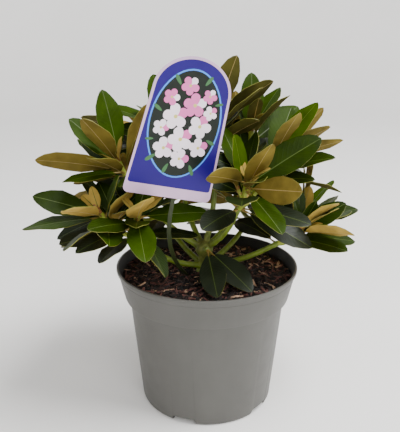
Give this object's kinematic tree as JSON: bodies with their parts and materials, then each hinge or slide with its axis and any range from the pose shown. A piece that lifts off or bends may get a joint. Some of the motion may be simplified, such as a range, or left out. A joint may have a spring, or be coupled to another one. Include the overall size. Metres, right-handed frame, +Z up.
{
  "type": "potted rhododendron",
  "caption": "Young evergreen rhododendron with whorls of leathery leaves on forked stems, in a round grey nursery container with bark mix and a picture label.",
  "frame": {"origin": "centre of the container's flat underside, on the surface it stands on", "axes": "+Z up, +X to the right and -Y towards the viewer of the label"},
  "size_m": [0.4077, 0.3356, 0.4406],
  "materials": {
    "pot_plastic": "matte grey injection-moulded plastic, black inside",
    "bark_mix": "damp shredded bark and peat, dark reddish brown",
    "woody_bark": "brown fissured bark",
    "green_bark": "smooth yellow-green young bark",
    "foliage": "leathery leaves, green above and felted tan below",
    "label_print": "printed glossy card in thin plastic"
  },
  "bodies": {
    "root": {"pot": "pot_plastic", "bark_mix": "bark_mix", "trunk": "woody_bark", "plant_label": "label_print", "bough_right_front": "green_bark", "bough_left_low": "green_bark", "bough_left_upper": "green_bark", "bough_right_low": "green_bark", "bough_centre_top": "green_bark", "bough_right_back": "green_bark", "bough_back_upper": "green_bark", "bough_back_right_low": "green_bark", "bough_back_left_low": "green_bark", "foliage_front_low": "foliage", "foliage_right_front": "foliage", "foliage_left_low": "foliage", "foliage_left_upper": "foliage", "foliage_right_low": "foliage", "foliage_centre_top": "foliage", "foliage_right_back": "foliage", "foliage_back_upper": "foliage", "foliage_back_right_low": "foliage", "foliage_back_left_low": "foliage"}
  },
  "joints": []
}
